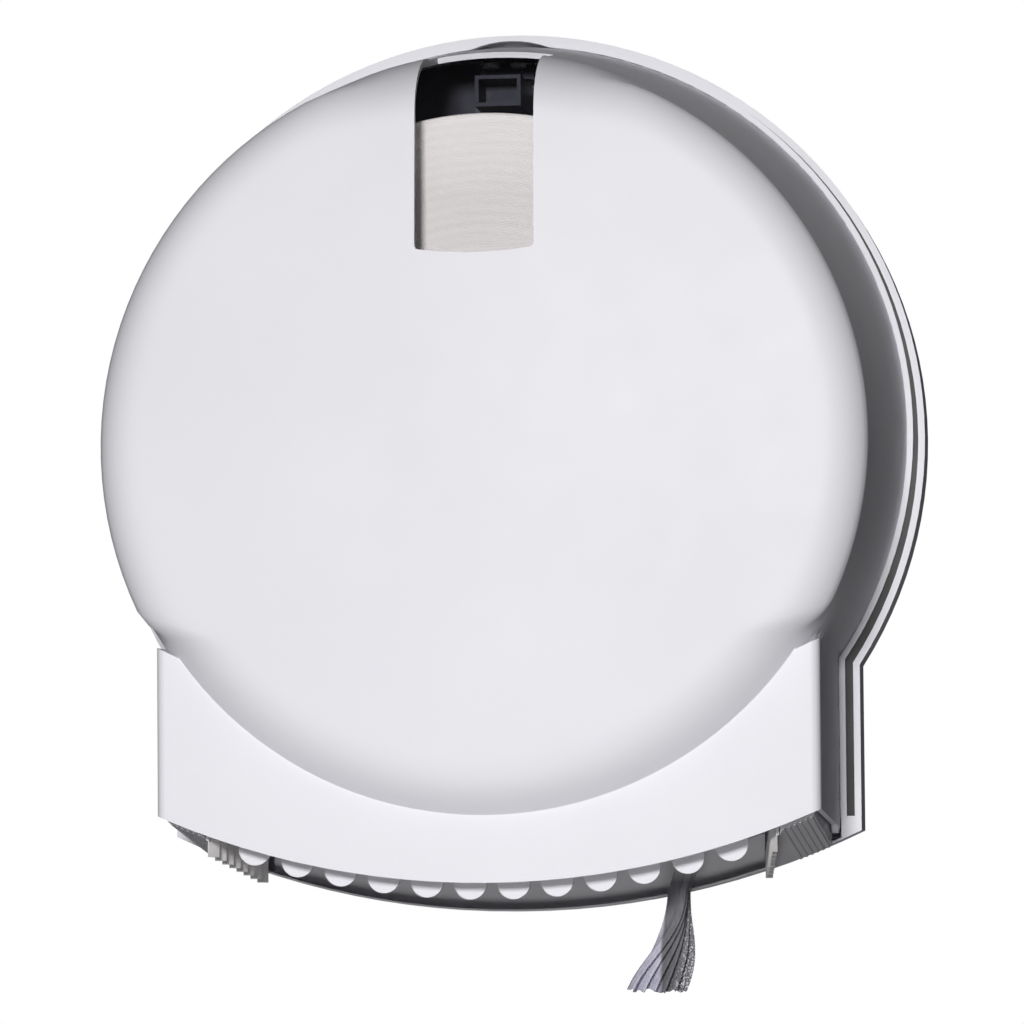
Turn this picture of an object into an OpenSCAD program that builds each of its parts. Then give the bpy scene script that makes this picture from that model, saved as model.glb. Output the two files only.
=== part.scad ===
// Wall-mounted dispenser for one jumbo toilet roll.
// X runs to the right, Z runs up and the wall is the plane Y = 0, so the dispenser fills Y < 0.
// Distances "from the wall" are written as positive depths, and the origin is the centre of the
// round back plate on the wall.  All sizes are in millimetres.

/* [Back plate] */
// Radius of the round part of the back plate
plate_r = 180; // [176:1:190]
// Half width of the square skirt of the back plate
plate_half_w = 150.5; // [149:0.5:156]
// Distance from the centre down to the lowest point of the curved bottom edge
plate_drop = 204; // [202:1:210]
// Radius of the curved bottom edges of plate, floor and cover
bottom_r = 352; // [300:1:420]
// Thickness of the plate against the wall
plate_t = 3; // [2.5:0.1:4]
// How far the rim stands out from the wall
rim_depth = 19; // [18:0.5:22]
// Thickness of the rim's outer wall
rim_wall = 2.2; // [1.6:0.1:3]
// Width of the flat land between the cover and the groove in the rim
groove_land = 2.4; // [1.8:0.1:3]
// Width of the lip outside the groove in the rim
groove_lip = 2.9; // [2:0.1:3.5]
// Depth of the groove in the rim
groove_depth = 1.4; // [0.6:0.1:2]
// Half the distance between the wall holes, across
wall_hole_x = 95; // [80:1:110]
// Height of the upper wall holes above the centre
wall_hole_top = 92; // [70:1:100]
// Depth of the lower wall holes below the centre
wall_hole_low = 88; // [70:1:100]
// Radius of the four wall holes
wall_hole_r = 3; // [2:0.25:4]

/* [Cover] */
// Radius of the round cover where it enters the rim
cover_base_r = 171.9; // [169:0.1:173]
// Height of the round cover's centre above the origin, at the rim
cover_base_rise = 2.7; // [1:0.1:4]
// Radius of the round cover where its front edge starts to curve
cover_edge_r = 165.5; // [163:0.5:168]
// Height of the round cover's centre at the front
cover_edge_rise = -3.5; // [-5:0.5:0]
// Distance from the wall at which the front edge starts to curve
edge_depth = 84; // [80:1:90]
// Distance from the wall of the outer rim of the front face
face_depth = 126; // [124:0.5:130]
// How much the front face bulges at its middle
face_crown = 5; // [2:0.5:8]
// Width of the curved front edge, measured across the face
edge_round = 29.5; // [24:0.5:34]
// Half width of the skirt under the round cover
cover_half_w = 141.1; // [139:0.1:142]
// Distance from the wall of the skirt's flat front
skirt_depth = 107.7; // [106:0.1:112]
// Radius of the skirt's upright corners
skirt_corner_r = 4; // [3:0.5:12]
// Distance from the centre down to the outer end of the skirt's sloping shoulders
shoulder_drop = 91; // [88:0.5:100]
// Slope of the skirt's shoulders, down towards the middle, in degrees
shoulder_slope = 26; // [15:1:35]
// Distance from the centre down to the lowest point of the skirt
cover_drop = 192; // [190:0.5:196]
// Wall thickness of the cover
cover_t = 2.5; // [2:0.1:3.2]
// Gap around the cover where it enters the rim
mouth_gap = 0.6; // [0.4:0.05:1]
// How far the cover reaches into the rim
cover_tuck = 3.2; // [2:0.1:4]

/* [Window] */
// Half width of the window
window_half_w = 25.3; // [20:0.1:32]
// Height of the window's lower edge above the centre
window_low = 71.6; // [60:0.5:90]
// Distance from the wall at which the window ends on top
window_back = 62; // [50:1:75]
// How far the window's lower edge bows down at its middle
window_sag = 2; // [0.5:0.1:4]
// Radius of the window's lower corners
window_corner_r = 2.5; // [1:0.5:5]
// Width of the window's hidden inner flange
window_flange = 4; // [3:0.5:6]
// Gap between window and cover
window_gap = 0.15; // [0.1:0.05:0.3]

/* [Hinge] */
// Distance of the hinge axis from the wall
hinge_depth = 26; // [25:0.5:28]
// Distance of the hinge axis below the centre
hinge_drop = 165; // [164:0.5:167]
// Radius of the hinge pins
hinge_pin_r = 2.5; // [2:0.1:3]
// Radius of the round ears on the cover
hinge_ear_r = 6.5; // [5.5:0.1:7]
// Radial running clearance of pins and spindle
running_gap = 0.05; // [0.02:0.01:0.09]

/* [Outlet] */
// Rise of the outlet floor from the wall to its front edge, in degrees
floor_slope = 8.2; // [6:0.1:9]
// Thickness of the outlet floor
floor_t = 2.4; // [1.8:0.1:3]
// Distance from the wall of the floor's front cross bar
floor_front = 99.4; // [98:0.2:101]
// Distance from the wall of the tear comb's front face
comb_depth = 91.5; // [90:0.1:92]
// Distance from the centre down to the tips of the comb's tongues
tongue_drop = 199; // [197:0.5:200]
// Number of rounded tongues on the tear comb
tongue_count = 12; // [6:1:12]
// Distance from one tongue to the next
tongue_pitch = 18.87; // [17:0.1:19]
// Radius of the tongues' round ends
tongue_r = 7; // [5:0.1:7.5]
// Height of the tongues below the comb's bar
tongue_h = 8.5; // [7.5:0.1:9]
// Thickness of tear comb and teeth
comb_t = 2.2; // [1.6:0.1:3]
// Half width of the outlet at its front
outlet_front_w = 120; // [116:0.5:121]
// Half width of the outlet at the wall
outlet_back_w = 108; // [104:0.5:112]
// Number of teeth on each side of the outlet
tooth_count = 8; // [4:1:12]
// How far the teeth fold inwards
tooth_fold = 3; // [1:0.1:4]
// Height of the rear rail
rail_h = 14; // [4:0.5:16]
// Distance from the wall of the rear rail's front face
rail_depth = 14; // [10:0.5:16]

/* [Roll] */
// Room left between a full roll and the front edge of the round cover, all round
roll_room = 34; // [30:0.5:60]
// Room left between the roll's front and the inside of the cover's face
roll_front_room = 22.5; // [10:0.5:36]
// Inner radius of the cardboard core
core_r = 30; // [28:0.5:36]
// Wall thickness of the cardboard core
core_t = 1.5; // [1:0.1:3]
// Height of the spindle above the centre
spindle_rise = 3; // [0:0.5:4]
// Radius of the spindle post
spindle_r = 8; // [6:0.25:10]
// Distance from the wall at which the roll starts
roll_start = 13; // [12.6:0.1:18]

/* [Lock] */
// Half width of the lock housing
lock_half_w = 10; // [9:0.5:14]
// Gap between the lock housing and the lower edge of the cover's catch
lock_to_catch = 3; // [2:0.25:6]
// Height of the lock housing
lock_h = 13.5; // [13:0.5:16]
// Distance from the wall of the lock housing's front
lock_depth = 57; // [50:1:66]
// Travel of the latch when the key presses it
latch_travel = 4.5; // [4:0.1:5]
// Half width of the key slot in the rim
key_slot_half_w = 17.2; // [14:0.2:20]
// Height of the key slot at its middle
key_slot_h = 3.2; // [2.4:0.1:3.6]

/* [Hidden] */

seat = 0.3;                       // gap between neighbours that touch without being joined
far = 400;                        // longer than anything here, for cuts that run right through
fine = 180;                       // facets of large circles, where they have to be drawn
bottom_rise = bottom_r - plate_drop;          // centre of the plate's bottom arc
cover_bottom_rise = bottom_r - cover_drop;    // centre of the cover's bottom arc
comb_rise = bottom_r - tongue_drop;           // centre of the arc through the tongues' tips
cover_back = rim_depth - cover_tuck;          // distance of the cover's rear edge from the wall
mouth_floor = cover_back - seat;              // front of the ledge that the cover closes against
axis_at = [0, -hinge_depth, -hinge_drop];     // a point on the hinge axis
floor_half_w = cover_half_w - cover_t - 1;    // outer side of the outlet floor
shell_in = cover_t + window_gap;              // the surface just inside the cover's wall
roll_r = cover_edge_r - roll_room;            // radius of a full roll
roll_w = face_depth - cover_t - roll_front_room - roll_start;

// Height of the round cover's centre and its radius, at a distance from the wall
function rise_at(d) = cover_base_rise
    + (cover_edge_rise - cover_base_rise) * (d - rim_depth) / (edge_depth - rim_depth);
function radius_at(d) = cover_base_r
    + (cover_edge_r - cover_base_r) * (d - rim_depth) / (edge_depth - rim_depth);
// Half width of the outlet at a distance from the wall
function outlet_w(d) = outlet_back_w + (outlet_front_w - outlet_back_w) * d / comb_depth;
// Underside of the sloping floor, at a distance x from the middle and d from the wall
function floor_z(x, d) = bottom_rise + d * tan(floor_slope) - sqrt(bottom_r * bottom_r - x * x);

// A prism of an outline in X and Z, between two distances from the wall
module facing(from, to) {
    translate([0, -from, 0])
        rotate([90, 0, 0])
            linear_extrude(to - from)
                children();
}

// A round bar along the depth, between two distances from the wall
module round_facing(from, to, r, facets = 48) {
    translate([0, -from, 0])
        rotate([90, 0, 0])
            cylinder(h = to - from, r = r, $fn = facets);
}

// A box between two distances from the wall, spanning x and z ranges
module box(x, depth, z) {
    translate([x[0], -depth[1], z[0]])
        cube([x[1] - x[0], depth[1] - depth[0], z[1] - z[0]]);
}

// Outline of the back plate: a disc over a square skirt with a curved bottom
module plate_outline(inset = 0) {
    circle(plate_r - inset, $fn = fine);
    intersection() {
        translate([0, bottom_rise])
            circle(bottom_r - inset, $fn = fine);
        translate([inset - plate_half_w, -far])
            square([2 * (plate_half_w - inset), far]);
    }
}

// Outline of the cover where it enters the rim, open downwards
module cover_outline(inset = 0) {
    translate([0, cover_base_rise])
        circle(cover_base_r - inset, $fn = fine);
    translate([inset - cover_half_w, -far])
        square([2 * (cover_half_w - inset), far]);
}

// Everything above the sloping underside of the outlet floor
module above_floor(inset = 0) {
    translate([0, 0, bottom_rise])
        rotate([90 - floor_slope, 0, 0])
            translate([0, 0, -plate_r])
                cylinder(h = 2 * plate_r, r = bottom_r - inset, $fn = fine);
}

// The round cover as a solid, drawn in by an inset: a cone that leans down a little towards
// the front, then the curved edge and the crowned face turned about the front's centre
module dome(inset = 0) {
    back = cover_back - (inset > 0 ? 2 : 0);
    hull() {
        for (d = [back, edge_depth])
            translate([0, -d, rise_at(d)])
                rotate([90, 0, 0])
                    cylinder(h = 0.01, r = radius_at(d) - inset, $fn = 144);
    }
    face_r = cover_edge_r - edge_round;
    translate([0, -edge_depth, cover_edge_rise])
        rotate([90, 0, 0])
            rotate_extrude($fn = fine)
                polygon(concat(
                    [[0, 0]],
                    [for (a = [0 : 6 : 90])
                        [face_r + (edge_round - inset) * cos(a),
                         (face_depth - edge_depth - inset) * sin(a)]],
                    [for (k = [0.8 : -0.2 : 0])
                        [face_r * k, face_depth - edge_depth - inset + face_crown * (1 - k * k)]]));
}

// The square skirt under the round cover as a solid, with round upright corners and a
// sloping shoulder on top of each
module skirt(inset = 0) difference() {
    skirt_block(inset);
    for (side = [-1, 1])
        facing(inset > 0 ? edge_depth - 18 : -1, far)
            scale([side, 1])
                polygon([[cover_half_w + 2, shoulder_z(cover_half_w + 2, inset)],
                         [cover_half_w - 23, shoulder_z(cover_half_w - 23, inset)],
                         [cover_half_w - 23, far], [cover_half_w + 2, far]]);
}
function shoulder_z(x, inset) =
    -shoulder_drop - (cover_half_w - x) * tan(shoulder_slope) - inset / cos(shoulder_slope);
module skirt_block(inset = 0) {
    w = cover_half_w - inset;
    front = skirt_depth - inset;
    r = skirt_corner_r - inset;
    translate([0, 0, -far])
        linear_extrude(far - cover_base_r / 3) {
            translate([-w, r - front])
                square([2 * w, front - r - cover_back + (inset > 0 ? 2 : 0)]);
            translate([r - w, -front])
                square([2 * (w - r), 2 * r]);
            for (side = [-1, 1])
                translate([side * (w - r), r - front])
                    circle(r, $fn = 64);
        }
}

// Front view of the window opening, grown by an amount
module window_outline(grow = 0) {
    w = window_half_w + grow;
    low = window_low - grow;
    r = window_corner_r;
    bow_r = (window_half_w * window_half_w + window_sag * window_sag) / (2 * window_sag);
    corner = low + bow_r - sqrt(bow_r * bow_r - (w - r) * (w - r)) + 0.88 * r;
    intersection() {
        translate([0, low + bow_r])
            circle(bow_r, $fn = fine);
        union() {
            translate([-w, corner])
                square([2 * w, far]);
            translate([r - w, low - 1])
                square([2 * (w - r), far]);
            for (side = [-1, 1])
                translate([side * (w - r), corner])
                    circle(r, $fn = 32);
        }
    }
}

// ---- Fixed to the wall ----

// Back plate with its raised rim, the groove in the rim, the ledge that the cover closes
// against, four wall holes and the seat of the spindle.
module back_plate() color("white") difference() {
    union() {
        difference() {
            facing(0, rim_depth)
                plate_outline();
            rim_mouth();
        }
        cover_ledge();
        spindle_seat();
    }
    rim_groove();
    rim_channel();
    side_floor_cut();
    key_opening();
    for (x = [-wall_hole_x, wall_hole_x], z = [wall_hole_top, -wall_hole_low])
        translate([x, 0, z])
            round_facing(-1, plate_t + 3, wall_hole_r);
    at_post_screws()
        round_facing(plate_t - 2, plate_t + 3, screw_r + running_gap, 24);
    at_lock_screws()
        round_facing(plate_t - 2, plate_t + 1, screw_r + running_gap, 24);
    translate([0, 0, spindle_rise])
        at_brake_screw()
            round_facing(plate_t - 2, plate_t + 1, screw_r + running_gap, 24);
    at_floor_screws()
        round_facing(plate_t - 2, plate_t + 1, screw_r + running_gap, 24);
}

// The hollow of the back plate, down to the plate and to a thin ledge at the bottom
module rim_mouth() {
    facing(plate_t, rim_depth + 1)
        intersection() {
            cover_outline(-mouth_gap);
            plate_outline(bottom_ledge);
        }
}
bottom_ledge = 0.9;

// Ledge behind the cover's rear edge, all round except where key and outlet pass
module cover_ledge() difference() {
    facing(mouth_floor - 2, mouth_floor)
        intersection() {
            difference() {
                cover_outline(-mouth_gap - 0.5);
                cover_outline(cover_t + 1 - seat);
            }
            plate_outline(0.5);
            translate([-far, -hinge_drop])
                square([2 * far, 2 * far]);
        }
}

// Groove between the land beside the cover and the outer lip, fading out over the top
module rim_groove() {
    facing(rim_depth - groove_depth, rim_depth + 1)
        intersection() {
            difference() {
                plate_outline(groove_lip);
                cover_outline(-mouth_gap - groove_land);
            }
            translate([-far, -hinge_drop + 1])
                square([2 * far, 2 * far]);
        }
}

// Hollow in the back of the thick rim
module rim_channel() {
    facing(-1, rim_depth - groove_depth - rim_wall)
        intersection() {
            difference() {
                plate_outline(rim_wall);
                cover_outline(-mouth_gap - rim_wall);
            }
            translate([-far, -hinge_drop + rim_wall])
                square([2 * far, 2 * far]);
        }
}

// What the sloping side floors take away under the rim, on both sides of the outlet
module side_floor_cut() difference() {
    for (side = [-1, 1])
        translate([side * (outlet_back_w + 1.8 + far / 2), -far / 2, -far / 2])
            cube([far, 2 * far, far], center = true);
    above_floor();
}

// Lens-shaped opening in the top of the rim for the key, and its way to the latch
module key_opening() {
    top = cover_base_rise + cover_base_r + mouth_gap + key_slot_h - 0.8;
    lens_r = (key_slot_half_w * key_slot_half_w + key_slot_h * key_slot_h) / (2 * key_slot_h);
    facing(plate_t, rim_depth + 1)
        intersection() {
            translate([0, top - lens_r])
                circle(lens_r, $fn = fine);
            translate([-far, cover_base_r - 12])
                square([2 * far, far]);
            translate([-key_slot_half_w - 0.5, 0])
                square([2 * key_slot_half_w + 1, far]);
        }
}

// Raised round seat of the spindle post on the plate
seat_r = 34;
seat_h = 1;
module spindle_seat() {
    translate([0, 0, spindle_rise])
        round_facing(plate_t - 1, plate_t + seat_h, seat_r, fine);
}

// Screws: shank radius, head radius and head height
screw_r = 1.75;
head_r = 3.4;
head_h = 1.8;

// A pan-head screw along the depth, its head's underside at a distance from the wall
module screw(under_head, length) {
    round_facing(under_head - length, under_head + head_h / 2, screw_r, 24);
    difference() {
        round_facing(under_head, under_head + head_h, head_r, 32);
        box([-head_r, head_r], [under_head + head_h - 0.7, under_head + far], [-0.4, 0.4]);
    }
}

// Floor around the outlet: a sloping panel on each side with fine ribs under it, outer side
// walls that carry the hinge pins, and a cross bar behind the cover's front.
floor_wall_h = 13;
lug_in = floor_half_w - 5;
module outlet_floor() color("whitesmoke") difference() {
    union() {
        for (side = [-1, 1])
            side_floor(side);
        cross_bar();
    }
    for (side = [-1, 1])
        translate(axis_at)
            rotate([0, side * 90, 0])
                cylinder(h = far, r = hinge_pin_r + running_gap, $fn = 48);
    at_floor_screws()
        round_facing(0, 60, screw_r + running_gap, 24);
    at_strip_rivets()
        translate([-far, 0, 0])
            rotate([0, 90, 0])
                cylinder(h = 2 * far, r = rivet_r + running_gap, $fn = 20);
}

floor_back = rim_depth + seat;
module side_floor(side) {
    // panel and its ribs
    intersection() {
        difference() {
            above_floor();
            above_floor(floor_t);
        }
        side_plan(side);
    }
    intersection() {
        difference() {
            above_floor(-rib_h);
            above_floor(floor_t / 2);
        }
        side_plan(side);
        for (k = [1 : rib_count])
            translate([side * (outlet_front_w + 2 + k * rib_pitch), 0, 0])
                cube([rib_w, far, far * 2], center = true);
    }
    // wall along the outlet and wall along the cover's side
    intersection() {
        above_floor(floor_t / 2);
        below_wall_top();
        outlet_wall_plan(side, 1.8 + seat, 2);
    }
    intersection() {
        above_floor(floor_t / 2);
        box([side > 0 ? floor_half_w - floor_t : -floor_half_w,
             side > 0 ? floor_half_w : floor_t - floor_half_w],
            [floor_back, floor_front], [-far, wall_top]);
    }
    hinge_lug(side);
    foot(side);
}
rib_h = 0.5;
rib_w = 0.9;
rib_pitch = 2.4;
rib_count = 6;
wall_top = -hinge_drop + hinge_ear_r + 4;

// Plan of one side panel, from the outlet to the cover's side
module side_plan(side) {
    translate([0, 0, -far])
        linear_extrude(far)
            scale([side, 1])
                polygon([[outlet_w(floor_back) + 1.8 + seat, -floor_back],
                         [floor_half_w, -floor_back], [floor_half_w, -floor_front],
                         [outlet_w(floor_front) + 1.8 + seat, -floor_front]]);
}

// Plan of a thin wall along the outlet, at a distance outside the outlet's edge
module outlet_wall_plan(side, out, t) {
    translate([0, 0, -far])
        linear_extrude(far)
            scale([side, 1])
                polygon([[outlet_w(floor_back) + out, -floor_back],
                         [outlet_w(floor_back) + out + t, -floor_back],
                         [outlet_w(floor_front) + out + t, -floor_front],
                         [outlet_w(floor_front) + out, -floor_front]]);
}

// Space under the sloping top of the walls beside the outlet
module below_wall_top() difference() {
    translate([-far, -far, -far])
        cube(2 * far);
    above_floor(floor_t + floor_wall_h);
}

// Thick round lug for a hinge pin on the floor's side wall
module hinge_lug(side) {
    translate(axis_at)
        rotate([0, side * 90, 0])
            translate([0, 0, lug_in])
                cylinder(h = floor_half_w - lug_in, r = hinge_ear_r, $fn = 48);
    box([side > 0 ? lug_in : -floor_half_w, side > 0 ? floor_half_w : -lug_in],
        [floor_back, hinge_depth], [-hinge_drop, wall_top]);
}

// Foot behind the side wall, screwed to the back plate
foot_x = floor_half_w - 9;
foot_z = wall_top + 6;
module foot(side) {
    box([side > 0 ? foot_x - 7 : -floor_half_w, side > 0 ? floor_half_w : 7 - foot_x],
        [plate_t + seat, plate_t + seat + 3], [wall_top - 6, foot_z + 7]);
    box([side > 0 ? floor_half_w - floor_t : -floor_half_w,
         side > 0 ? floor_half_w : floor_t - floor_half_w],
        [plate_t + seat, floor_back + 1], [wall_top - 6, wall_top]);
}

// Bar across the front of the outlet, hidden behind the cover
module cross_bar() intersection() {
    facing(floor_front - floor_t, floor_front)
        difference() {
            translate([0, cover_bottom_rise])
                circle(bottom_r - 2.5, $fn = fine);
            translate([0, cover_bottom_rise])
                circle(bottom_r - 14, $fn = fine);
        }
    box([-floor_half_w, floor_half_w], [0, far], [-far, wall_top]);
}

module at_floor_screws() {
    for (side = [-1, 1])
        translate([side * foot_x, 0, foot_z])
            children();
}
module floor_screws() color("silver")
    at_floor_screws()
        screw(plate_t + seat + 3, seat + 4.8);

// Tear comb across the front of the outlet: rounded tongues hang from a bar, which a flange
// on top joins to the floor's cross bar.
comb_bar_h = 9;
module tear_comb() color("white") {
    half = outlet_w(comb_depth) - 1.8 - seat;
    valley = bottom_r - tongue_h;
    facing(comb_depth - comb_t, comb_depth)
        comb_band(valley, valley - comb_bar_h, half);
    facing(comb_depth - comb_t, floor_front - floor_t - seat)
        comb_band(valley - comb_bar_h + 2, valley - comb_bar_h, half);
    for (k = [0 : tongue_count - 1])
        tongue((k - (tongue_count - 1) / 2) * tongue_pitch);
}

// Band along the comb's arc, between two radii and up to a half width
module comb_band(outer, inner, half) intersection() {
    difference() {
        translate([0, comb_rise])
            circle(outer, $fn = fine);
        translate([0, comb_rise])
            circle(inner, $fn = fine);
    }
    translate([-half, -far])
        square([2 * half, far]);
}

// One tongue, square to the arc at its place along it
module tongue(x) {
    translate([0, 0, comb_rise])
        rotate([0, -asin(x / bottom_r), 0])
            translate([0, 0, tongue_r - bottom_r]) {
                round_facing(comb_depth - comb_t, comb_depth, tongue_r, 48);
                box([-tongue_r, tongue_r], [comb_depth - comb_t, comb_depth],
                    [0, tongue_h - tongue_r + 1]);
            }
}

// Low rail across the back of the outlet, standing on the plate's thin bottom ledge
module tear_rail() color("dimgray")
    facing(plate_t + seat, rail_depth)
        intersection() {
            difference() {
                translate([0, bottom_rise])
                    circle(bottom_r - bottom_ledge - seat, $fn = fine);
                translate([0, bottom_rise])
                    circle(bottom_r - bottom_ledge - seat - rail_h, $fn = fine);
            }
            translate([-outlet_back_w, -far])
                square([2 * outlet_back_w, far]);
        }

// Strip of folded teeth along one side of the outlet
strip_t = 1.4;
strip_front = comb_depth + 3.5;
strip_back = rim_depth + 1;
tip_front = -180;
tip_back = -190.5;
module tooth_strip() {
    pitch = (strip_front - strip_back) / tooth_count;
    for (k = [0 : tooth_count - 1])
        tooth(strip_front - k * pitch, pitch, tip_front + (tip_back - tip_front) * k / (tooth_count - 1));
    intersection() {
        above_floor(-1);
        below_strip_top();
        translate([0, 0, -far])
            linear_extrude(far)
                polygon([[outlet_w(strip_back) + 1.8, -strip_back],
                         [outlet_w(strip_back) + 1.8 - strip_t, -strip_back],
                         [outlet_w(strip_front) + 1.8 - strip_t, -strip_front],
                         [outlet_w(strip_front) + 1.8, -strip_front]]);
    }
}
module below_strip_top() difference() {
    translate([-far, -far, -far])
        cube(2 * far);
    above_floor(floor_t + floor_wall_h - 1);
}

// One tooth: a solid fold whose lower edge rises towards the front
module tooth(depth, pitch, tip) {
    root = 1.8 - strip_t / 2;
    difference() {
        translate([0, 0, tip])
            linear_extrude(floor_z(outlet_w(depth), depth) + 3 - tip)
                polygon([[outlet_w(depth - 0.05 * pitch) + root, 0.05 * pitch - depth],
                         [outlet_w(depth - 0.7 * pitch) + root - tooth_fold, 0.7 * pitch - depth],
                         [outlet_w(depth - 0.95 * pitch) + root, 0.95 * pitch - depth]]);
        translate([0, -depth, tip])
            rotate([-12, 0, 0])
                translate([0, -pitch, -pitch])
                    cube([2 * outlet_front_w, pitch * 1.7, pitch]);
    }
}
module tooth_strip_left() color("gray")
    mirror([1, 0, 0])
        tooth_strip_drilled();
module tooth_strip_right() color("gray") tooth_strip_drilled();
module tooth_strip_drilled() difference() {
    tooth_strip();
    at_strip_rivets()
        translate([-far, 0, 0])
            rotate([0, 90, 0])
                cylinder(h = 2 * far, r = rivet_r + running_gap, $fn = 20);
}

// Rivets through the strips and the floor's walls beside the outlet
rivet_r = 1.5;
rivet_depths = [30, 58, 86];
module at_strip_rivets() {
    for (d = rivet_depths)
        translate([0, -d, floor_z(outlet_w(d), d) + floor_t + 6])
            children();
}
module strip_rivets() color("silver")
    for (side = [-1, 1])
        for (d = rivet_depths)
            translate([side * (outlet_w(d) + 1.8 - strip_t), -d, floor_z(outlet_w(d), d) + floor_t + 6])
                rotate([0, side * 90, 0])
                    rivet(strip_t + seat + 2);
module rivet(grip) {
    slack = 0.25;
    cylinder(h = grip, r = rivet_r, $fn = 20);
    translate([0, 0, -0.8 - slack])
        cylinder(h = 0.8 + slack, r1 = 2.2, r2 = rivet_r, $fn = 20);
}

// Hinge pins: pressed through the floor's lugs, their ends flush with the cover's sides
module hinge_pin(side) color("silver") {
    translate(axis_at)
        rotate([0, side * 90, 0]) {
            translate([0, 0, lug_in - 0.5])
                cylinder(h = cover_half_w - lug_in + 0.3, r = hinge_pin_r, $fn = 48);
            translate([0, 0, lug_in - 2.1])
                cylinder(h = 2, r = hinge_pin_r + 1.5, $fn = 32);
        }
}
module hinge_pin_left() hinge_pin(-1);
module hinge_pin_right() hinge_pin(1);

// ---- Spindle ----
post_back = plate_t + seat_h;
post_flange_r = 4 * spindle_r;
post_screw_ring = 0.75 * post_flange_r;
post_flange_t = 3;
hub_back = post_back + post_flange_t + 2.5;
hub_flange_t = roll_start - seat - hub_back;
hub_bore_end = roll_start + roll_w - 26;
cap_front = roll_start + roll_w - 2;
hub_r = core_r - 0.15;
washer_t = 1.6;

// Post with its round flange, screwed to the seat on the back plate
module spindle_post() color("lightgray") difference() {
    translate([0, 0, spindle_rise]) {
        round_facing(post_back, post_back + post_flange_t, post_flange_r, fine);
        round_facing(post_back, hub_bore_end + 1, spindle_r, 64);
        // shoulder that the hub runs against
        round_facing(post_back, hub_back - seat, spindle_r + 4, 64);
    }
    translate([0, 0, spindle_rise])
        round_facing(hub_bore_end - 14, hub_bore_end + 2, screw_r + 1 + running_gap, 24);
    at_post_screws()
        round_facing(0, post_back + post_flange_t + 1, screw_r + running_gap, 24);
}
module at_post_screws() {
    for (a = [90, 210, 330])
        translate([post_screw_ring * cos(a), 0, spindle_rise + post_screw_ring * sin(a)])
            children();
}
module post_screws() color("silver")
    at_post_screws()
        screw(post_back + post_flange_t, post_flange_t + 2.6);

// Washer and screw that keep the hub on the post
module spindle_washer() color("silver")
    translate([0, 0, spindle_rise])
        difference() {
            round_facing(hub_bore_end + 1, hub_bore_end + 1 + washer_t, spindle_r + 6, 64);
            round_facing(0, far, screw_r + 1 + running_gap, 24);
        }
module spindle_screw() color("silver")
    translate([0, 0, spindle_rise]) {
        round_facing(hub_bore_end - 12, hub_bore_end + 2 + washer_t, screw_r + 1, 24);
        difference() {
            round_facing(hub_bore_end + 1 + washer_t, hub_bore_end + 4.2 + washer_t, 5, 32);
            box([-5, 5], [hub_bore_end + 3.2 + washer_t, far], [-0.6, 0.6]);
            box([-0.6, 0.6], [hub_bore_end + 3.2 + washer_t, far], [-5, 5]);
        }
    }

// Leaf spring that reaches over the post's flange and brakes the hub's flange
leaf_t = 0.6;
leaf_low = -post_flange_r - 27;
leaf_bend = -post_flange_r - 9;
module brake_spring() color("silver") {
    foot = plate_t + seat;
    touch = hub_back - seat;
    translate([0, 0, spindle_rise])
        difference() {
            translate([-4.5, 0, 0])
                rotate([90, 0, 90])
                    linear_extrude(9)
                        polygon([[-foot, leaf_low], [-foot, leaf_bend], [leaf_t - touch, 0.3 - post_flange_r],
                                 [leaf_t - touch, 5 - post_flange_r], [-touch, 5 - post_flange_r],
                                 [-touch, -post_flange_r], [-foot - leaf_t, leaf_bend - 0.3],
                                 [-foot - leaf_t, leaf_low]]);
            at_brake_screw()
                round_facing(0, far, screw_r + running_gap, 24);
        }
}
module at_brake_screw() {
    translate([0, 0, (leaf_low + leaf_bend) / 2])
        children();
}
module brake_screw() color("silver")
    translate([0, 0, spindle_rise])
        at_brake_screw()
            screw(plate_t + seat + leaf_t, seat + leaf_t + 1.8);

// Hub that turns on the post and carries the roll: flange, sleeve and an open front whose
// slots let it spring into the core
module roll_hub() color("slategray") translate([0, 0, spindle_rise]) difference() {
    union() {
        round_facing(hub_back, hub_back + hub_flange_t, core_r + 10, 96);
        round_facing(hub_back, cap_front, hub_r, 96);
    }
    round_facing(0, far, spindle_r + running_gap, 64);
    round_facing(hub_bore_end, far, hub_r - 5, 96);
    for (a = [30 : 60 : 330])
        rotate([0, a, 0])
            box([-1, 1], [hub_bore_end + 2, far], [hub_r - 8, hub_r + 2]);
}

// Cap that closes the hub's open front
module hub_cap() color("dimgray") translate([0, 0, spindle_rise]) {
    round_facing(cap_front + seat, cap_front + 2.2, hub_r - 0.5, 96);
    difference() {
        round_facing(cap_front - 6, cap_front + 1, hub_r - 5 - seat, 96);
        round_facing(cap_front - 7, cap_front, hub_r - 7.5, 96);
    }
}

module roll_core() color("tan") translate([0, 0, spindle_rise]) difference() {
    round_facing(roll_start, roll_start + roll_w, core_r + core_t, 96);
    round_facing(0, far, core_r, 96);
}

// Full roll, with the dished step between its layers near the core
module tissue_roll() color("mistyrose") translate([0, 0, spindle_rise]) difference() {
    round_facing(roll_start, roll_start + roll_w, roll_r, fine);
    round_facing(0, far, core_r + core_t + 0.1, 96);
}

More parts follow.
